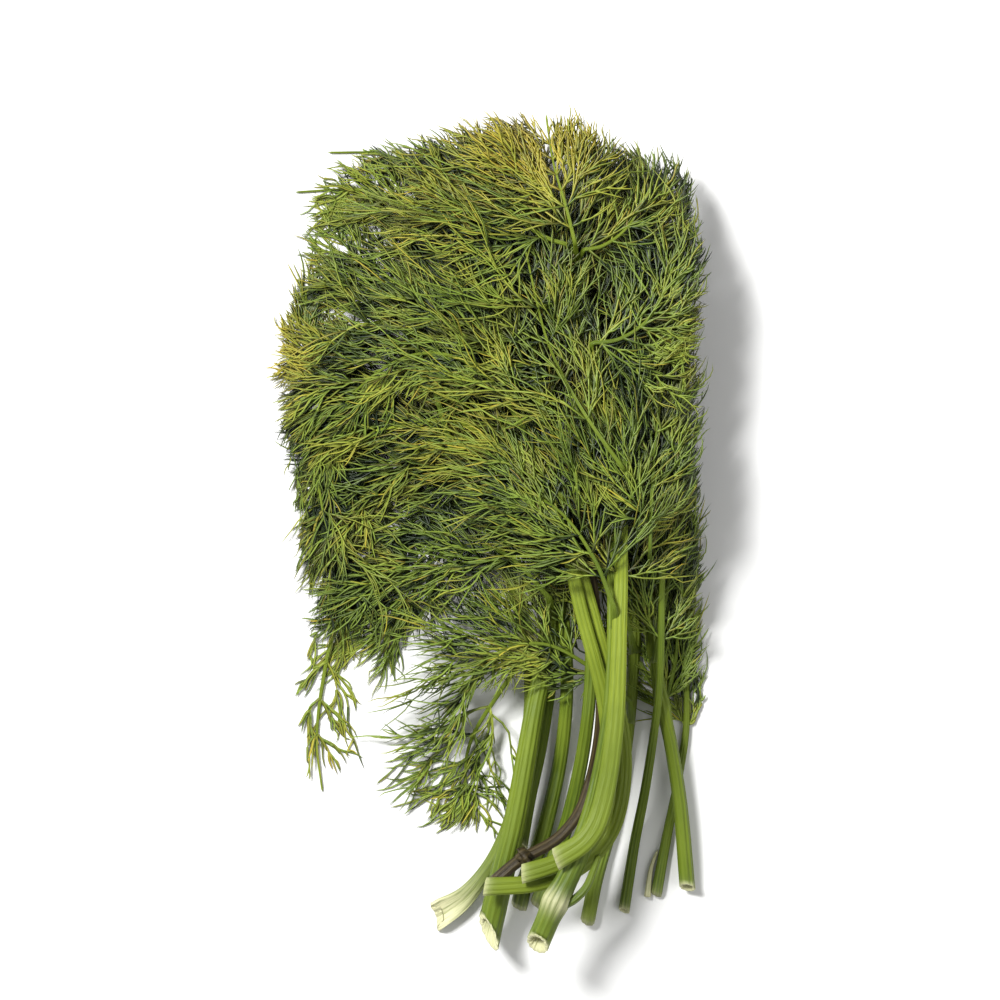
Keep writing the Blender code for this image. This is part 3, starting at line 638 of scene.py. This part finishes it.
# Lengthways ribs: bands round the stalk by its own UV, broken up by a long noise, and a pale cut end
def ribbedSkin():
    group = bpy.data.node_groups.new("ribbedSkin", "ShaderNodeTree")
    for name, kind, value in (
        ("Colour", "NodeSocketColor", (0.2, 0.3, 0.05, 1)),
        ("Ridge", "NodeSocketColor", (0.4, 0.5, 0.15, 1)),
        ("Pith", "NodeSocketColor", (0.75, 0.75, 0.5, 1)),
        ("Ribs", "NodeSocketFloat", 10.0),
        ("Cut", "NodeSocketFloat", 0.0),
    ):
        groupSocket(group, name, kind, False, value)
    groupSocket(group, "Colour", "NodeSocketColor", True)
    groupSocket(group, "Height", "NodeSocketFloat", True)
    given = group.nodes.new("NodeGroupInput").outputs
    result = group.nodes.new("NodeGroupOutput").inputs
    split = addNode(group, "ShaderNodeSeparateXYZ")
    group.links.new(addNode(group, "ShaderNodeTexCoord").outputs["UV"], split.inputs[0])
    u, v = split.outputs[0], split.outputs[1]
    turns = calculate(group, "MULTIPLY", u, given["Ribs"])
    wave = calculate(group, "SINE", calculate(group, "MULTIPLY", turns, 2 * math.pi))
    stretched = addNode(group, "ShaderNodeCombineXYZ")
    group.links.new(calculate(group, "MULTIPLY", u, 26.0), stretched.inputs[0])
    group.links.new(calculate(group, "MULTIPLY", v, 1.1), stretched.inputs[1])
    streak = addNode(group, "ShaderNodeTexNoise")
    streak.inputs["Scale"].default_value = 1.6
    streak.inputs["Detail"].default_value = 5
    group.links.new(stretched.outputs[0], streak.inputs["Vector"])
    low = calculate(group, "MULTIPLY", wave, 0.22)
    ridge = calculate(group, "ADD", low, streak.outputs["Fac"], clamp=True)
    sharp = calculate(group, "MULTIPLY", calculate(group, "SUBTRACT", ridge, 0.35), 1.7, clamp=True)
    skin = mixColour(group, sharp, given["Colour"], given["Ridge"])
    strong = calculate(group, "MULTIPLY", streak.outputs["Fac"], 3.0)
    patchy = calculate(group, "SUBTRACT", strong, 0.55, clamp=True)
    pale = calculate(group, "MULTIPLY", given["Cut"], patchy, clamp=True)
    group.links.new(mixColour(group, pale, skin, given["Pith"]), result["Colour"])
    group.links.new(ridge, result["Height"])
    return group


# A value that the mesh carries at each point
def readAttribute(tree, name):
    return addNode(tree, "ShaderNodeAttribute", attribute_name=name).outputs["Fac"]


# Threads: the plant tone alone, between dark green with painted shade, fresh and ripe
def threadFinish(name, tone, colours, mottle):
    material = bpy.data.materials.new(name)
    material.use_nodes = True
    tree = material.node_tree
    shader = tree.nodes["Principled BSDF"]
    group = addNode(tree, "ShaderNodeGroup", node_tree=tone)
    for key, attribute in (("Tone", "tone"), ("Age", "age"), ("Along", "along")):
        tree.links.new(readAttribute(tree, attribute), group.inputs[key])
    for key, colour in zip(("Dark And Shade", "Fresh", "Ripe"), colours):
        group.inputs[key].default_value = (*colour, 1)
    group.inputs["Mottle Scale"].default_value = mottle
    tree.links.new(group.outputs["Colour"], shader.inputs["Base Color"])
    tree.links.new(group.outputs["Roughness"], shader.inputs["Roughness"])
    shader.inputs["Specular IOR Level"].default_value = 0.45
    return material


# Stalks: the plant tone under a ribbed skin, whose ribs stand out
def stalkFinish(name, tone, skin, colours, ridge, pith, ribs, bumpDepth):
    material = threadFinish(name, tone, colours, 60.0)
    tree = material.node_tree
    shader = tree.nodes["Principled BSDF"]
    plain = [n for n in tree.nodes if n.type == "GROUP"][0]
    group = addNode(tree, "ShaderNodeGroup", node_tree=skin)
    tree.links.new(plain.outputs["Colour"], group.inputs["Colour"])
    tree.links.new(readAttribute(tree, "cut"), group.inputs["Cut"])
    group.inputs["Ridge"].default_value = (*ridge, 1)
    group.inputs["Pith"].default_value = (*pith, 1)
    group.inputs["Ribs"].default_value = ribs
    tree.links.new(group.outputs["Colour"], shader.inputs["Base Color"])
    bump = addNode(tree, "ShaderNodeBump")
    bump.inputs["Strength"].default_value = 0.5
    bump.inputs["Distance"].default_value = bumpDepth
    tree.links.new(group.outputs["Height"], bump.inputs["Height"])
    tree.links.new(bump.outputs["Normal"], shader.inputs["Normal"])
    shader.inputs["Specular IOR Level"].default_value = 0.3
    return material


print("finishes")
tone = plantTone()
skin = ribbedSkin()
# The threads' first colour, near black, is painted shade for the threads deep in the bunch
threadGreen = threadFinish(
    "dill thread", tone, ((0.010, 0.022, 0.005), (0.205, 0.295, 0.034), (0.56, 0.42, 0.035)), 90.0
)
stalkGreen = stalkFinish(
    "dill stalk", tone, skin, ((0.028, 0.065, 0.005), (0.09, 0.145, 0.008), (0.33, 0.4, 0.025)),
    (0.145, 0.2, 0.014), (0.68, 0.66, 0.4), 10.0, 0.0004,
)
driedBrown = stalkFinish(
    "dried stalk", tone, skin, ((0.01, 0.007, 0.003), (0.04, 0.028, 0.009), (0.07, 0.045, 0.014)),
    (0.085, 0.062, 0.02), (0.1, 0.075, 0.03), 6.0, 0.0006,
)


# Finishes a piece: the first material on its stalk's faces, the last on its threads
def finishPiece(piece, node, materials, stalkFaces):
    for material in materials:
        piece.data.materials.append(material)
    if len(materials) > 1:
        index = np.ones(len(piece.data.polygons), np.int32)
        index[stalkFaces] = 0
        piece.data.polygons.foreach_set("material_index", index)
    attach(piece, "root")
    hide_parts(node)


# Small extras, in plan: a side shoot of the crown stem, and a strip of skin beside the edge leaf
sideShoot = dict(
    route=[(13.2, -79.6), (16.2, -78.2), (18.8, -75.6), (20.4, -71.9), (21.6, -68.4)],
    radius=(1.0, 0.7),
)
peel = dict(route=[(32.3, -79.2), (32.6, -76), (33.2, -72.5), (34.6, -69)], radius=(0.75, 0.25))


# A small stalk of its own route, at the height of the point it starts beside
def sideStalk(route, beside, radius, age, pale=0.0):
    plan, at = curveThrough(route, 0.8)
    path = np.column_stack([plan - routeMiddle, np.full(len(plan), beside[2])])
    r = np.interp(at, [0, at[-1]], radius)
    return stalkTube(path, at, r, r, 6, 14, age, pale=pale, ringStep=0.8)


print("stems")
stemPaths = {}
for name, stem in stems.items():
    plan, at = curveThrough(stem["route"], 1.0)
    path = liftToSolid(solidOf(name), plan)
    stemPaths[name] = path
    share = at / at[-1]
    radius = stem["radius"][0] + (stem["radius"][1] - stem["radius"][0]) * share
    swell = sum(np.exp(-(((share - n) * at[-1] / 2.6) ** 2)) for n in stem["nodes"])
    radius = radius * (1 + 0.24 * swell)
    opened = stem["splay"] * np.exp(-((at / 9) ** 2))  # split, spread and pale inside at the foot
    fuzz = stem["fuzz"] * np.exp(-(((at - stem["nodes"][0] * at[-1]) / 2.2) ** 2))
    slim = 1 - 0.28 * stem["splay"]  # a split stem is slimmer than its solid, but for its foot
    wide, thick = radius * (slim + 0.62 * opened), radius * (slim + 0.1 * opened)
    tube = stalkTube(
        path, at, wide, thick, stem["ribs"], 60, stem["age"],
        channel=0.85 * opened, slant=stem["slant"], pale=opened + fuzz,
    )
    parts = [tube]
    if name == "stem_crown":  # a thin side shoot curves up from the swollen node
        parts.append(sideStalk(sideShoot["route"], path[10], sideShoot["radius"], 0.3))
    points, quads, triangles, attributes, uv = gather(parts)
    piece = newPiece("look_" + name, points, quads, triangles, attributes, uv)
    finishPiece(piece, name, [stalkGreen], None)

print("leaves")
grown = {}
for number, (name, leaf) in enumerate(leaves.items()):
    luck = np.random.default_rng(100 + number)
    plan, at = curveThrough(leaf["route"], 1.0)
    solid = solidOf(name)
    rib = liftToSolid(solid, plan)
    plumes, lastRoot = plumesOf(leaf, solid, plan, at)
    end = np.linspace(lastRoot, at[-1], 9)
    tip = np.stack([np.interp(end, at, rib[:, k]) for k in range(3)], axis=-1)
    plumes = keptInside(np.concatenate([plumes, tip[None]]), luck)
    bushy = leaf.get("bushy", 1.0)
    branches = keptInside(sprout(plumes, feather["branch"], 7, luck, bushy), luck)
    threads = keptInside(sprout(branches, feather["thread"], 6, luck, bushy), luck)
    forks = keptInside(sprout(threads, feather["fork"], 5, luck, bushy), luck)
    curves = (plumes, branches, threads, forks)
    for each, radius in zip(curves, feather["radius"]):
        each[..., 2] = np.maximum(each[..., 2], radius + 0.05)
    grown[name] = dict(rib=rib, at=at, curves=curves)

allCurves = [curves for leaf in grown.values() for curves in leaf["curves"]]
everywhere = np.concatenate([curves.reshape(-1, 3) for curves in allCurves])


# The cell that each point lies in
def cellOf(points):
    cells = np.array(shadeGrid["cells"])
    return tuple(np.clip((points - shadeGrid["low"]).astype(int), 0, cells - 1).T)


# Points of threads in each cell, spread over the cells beside it, then summed from the top down: how
# much hangs over a place, which sets the shade painted into the threads below
shadeCount = np.zeros(shadeGrid["cells"])
np.add.at(shadeCount, cellOf(everywhere), 1)
for axis in (0, 1):
    shadeCount = (np.roll(shadeCount, 1, axis) + shadeCount + np.roll(shadeCount, -1, axis)) / 3
shadeCount = np.cumsum(shadeCount[:, :, ::-1], axis=2)[:, :, ::-1]


# Painted shade of a curve, by how deep in the bunch it lies, from 0 in full light to 1 in the dark:
# 1 - e^(-share * what hangs over it), taken a millimetre above the curve at two thirds of its length
def paintedShadeOf(curves):
    middle = curves[:, (2 * curves.shape[1]) // 3] + np.array([0, 0, 1.0])
    return 1 - np.exp(-shadeGrid["share"] * shadeCount[cellOf(middle)])


bud = dict(share=0.055, length=3.6, radius=1.7, lumps=7)


# A dried bud on a stalk: a short lumpy body, radius * sin(pi s)^0.5 * (1 + lumps), lying along the top
def shrivelledBud(path, luck):
    k = int(bud["share"] * len(path))
    way = unit(path[k + 2] - path[k])
    at = np.linspace(0, bud["length"], 14)
    body = path[k] + np.array([-0.3, 0.5, 1.7]) + way * at[:, None] * 0.8 + luck.normal(0, 0.12, (14, 3))
    lumps = 1 + luck.normal(0, 0.16, 14)
    r = bud["radius"] * np.sqrt(np.sin(math.pi * np.linspace(0.06, 0.97, 14))) * lumps
    return stalkTube(
        body, at, r, r * 0.8, bud["lumps"], 28, 0.0, channel=0.25, cutEnd=False, ringStep=0.3
    )


threadCount = 0
for number, (name, leaf) in enumerate(leaves.items()):
    luck = np.random.default_rng(500 + number)
    stout = leaf.get("stout", 1.0)
    rib, at, levels = grown[name]["rib"], grown[name]["at"], grown[name]["curves"]
    share = at / at[-1]
    bare = max(leaf["stalk"], 0.1)
    places = [0, bare, min(bare + 0.25, 0.9), 1]  # a stalk slims at its first plumes and again at its tip
    wide = np.interp(share, places, [leaf["foot"][0], 0.62 * leaf["foot"][0], 0.5, 0.26])
    thick = np.interp(share, places, [leaf["foot"][1], 0.62 * leaf["foot"][1], 0.48, 0.24])
    hasCut = "on" not in leaf
    path, reach = rib, at
    if not hasCut:  # the stalk starts in the stem and leaves it as a sheath
        stem = stemPaths[leaf["on"]]
        nearest = int(np.argmin(np.linalg.norm(stem - rib[0], axis=1)))
        joint = stem[max(0, nearest - 4)]
        lead = joint + (rib[0] - joint) * np.array([[0.0], [0.4]])
        path = np.vstack([lead, rib[1:]])
        reach = np.concatenate([[0], np.cumsum(np.linalg.norm(np.diff(path, axis=0), axis=1))])
        wide = 0.85 * np.interp(reach, at, wide) * (1 + 0.9 * np.exp(-reach / 3))
        thick = 0.85 * np.interp(reach, at, thick) * (1 + 0.5 * np.exp(-reach / 3))
    stalk = stalkTube(
        path, reach, wide, thick, 7, 21, leaf["age"],
        channel=0.18, cutEnd=hasCut, slant=0.25 if hasCut else 0,
    )
    parts = [stalk]
    if name == "leaf_edge":  # a pale strip of skin peeled away beside the cut
        parts.append(sideStalk(peel["route"], path[1] - 0.4, peel["radius"], 0.3, pale=0.9))
    brown = name == "leaf_wilted"
    if brown:
        parts.append(shrivelledBud(path, luck))
    stalkQuads = np.arange(sum(len(p["quads"]) for p in parts))
    stalkTriangles = np.arange(sum(len(p["triangles"]) for p in parts))
    for curves, radius in zip(levels, feather["radius"]):
        count = len(curves)
        # Painted shade: the leaf's own shade and the threads hanging over a thread darken its tone and
        # keep it greener
        paintedShade = paintedShadeOf(curves)
        toneAndShadeOf = luck.normal(freshnessAndShade["tone"], freshnessAndShade["toneSpread"], count) - leaf.get("shade", 0)
        toneAndShadeOf = toneAndShadeOf - freshnessAndShade["shadeLoss"] * paintedShade
        ageOf = leaf["age"] * freshnessAndShade["ageShare"] + ripeness(curves[:, -1])
        ageOf = ageOf + luck.normal(0, freshnessAndShade["ageSpread"], count)
        ageOf = ageOf + freshnessAndShade["turnedBy"] * (luck.random(count) < freshnessAndShade["turned"])
        ageOf = np.clip(ageOf - freshnessAndShade["green"] - freshnessAndShade["shadeGreen"] * paintedShade, 0, 1)
        width = radius * stout * luck.uniform(0.85, 1.15, count)
        parts.append(threadTubes(curves, width, np.clip(toneAndShadeOf, 0, 1), ageOf))
        threadCount += count
    points, quads, triangles, attributes, uv = gather(parts)
    piece = newPiece("look_" + name, points, quads, triangles, attributes, uv)
    finishes = [driedBrown if brown else stalkGreen, threadGreen]
    stalkFaces = np.concatenate([stalkQuads, len(quads) + stalkTriangles])
    finishPiece(piece, name, finishes, stalkFaces)
print("threads", threadCount)

print("stage, light and camera")
floorMesh = bpy.data.meshes.new("floor")
half = 2.0  # metres
floorCorners = [(-half, -half, 0), (half, -half, 0), (half, half, 0), (-half, half, 0)]
floorMesh.from_pydata(floorCorners, [], [(0, 1, 2, 3)])
floor = bpy.data.objects.new("floor", floorMesh)
bpy.context.scene.collection.objects.link(floor)
paper = bpy.data.materials.new("pale table")
paper.use_nodes = True
paper.node_tree.nodes["Principled BSDF"].inputs["Base Color"].default_value = (0.86, 0.86, 0.85, 1)
paper.node_tree.nodes["Principled BSDF"].inputs["Roughness"].default_value = 0.7
floorMesh.materials.append(paper)

world = bpy.data.worlds.new("studio")
bpy.context.scene.world = world
world.use_nodes = True
world.node_tree.nodes["Background"].inputs["Color"].default_value = (1, 1, 1, 1)
world.node_tree.nodes["Background"].inputs["Strength"].default_value = 0.3


# A soft lamp that looks at the middle of the bunch
def softbox(name, place, size, power):
    light = bpy.data.lights.new(name, "AREA")
    light.shape = "RECTANGLE"
    light.size, light.size_y = size
    light.energy = power
    lamp = bpy.data.objects.new(name, light)
    lamp.location = place
    lamp.rotation_euler = (-Vector(place)).to_track_quat("-Z", "Y").to_euler()
    bpy.context.scene.collection.objects.link(lamp)


softbox("key", (-0.5, 0.45, 0.85), (0.3, 0.3), 19)
softbox("fill", (0.7, -0.2, 0.8), (0.8, 0.8), 3)

bpy.context.scene.view_settings.view_transform = "Standard"

camera = bpy.data.objects.new("camera", bpy.data.cameras.new("camera"))
bpy.context.scene.collection.objects.link(camera)
bpy.context.scene.camera = camera
above, level, seen = 0.9, 0.006, 0.2119  # metres: camera's height, and the width it sees at a level
sensor = 36
camera.location = (0.0016, 0.0062, above)
camera.data.sensor_width = sensor
camera.data.lens = sensor * (above - level) / seen
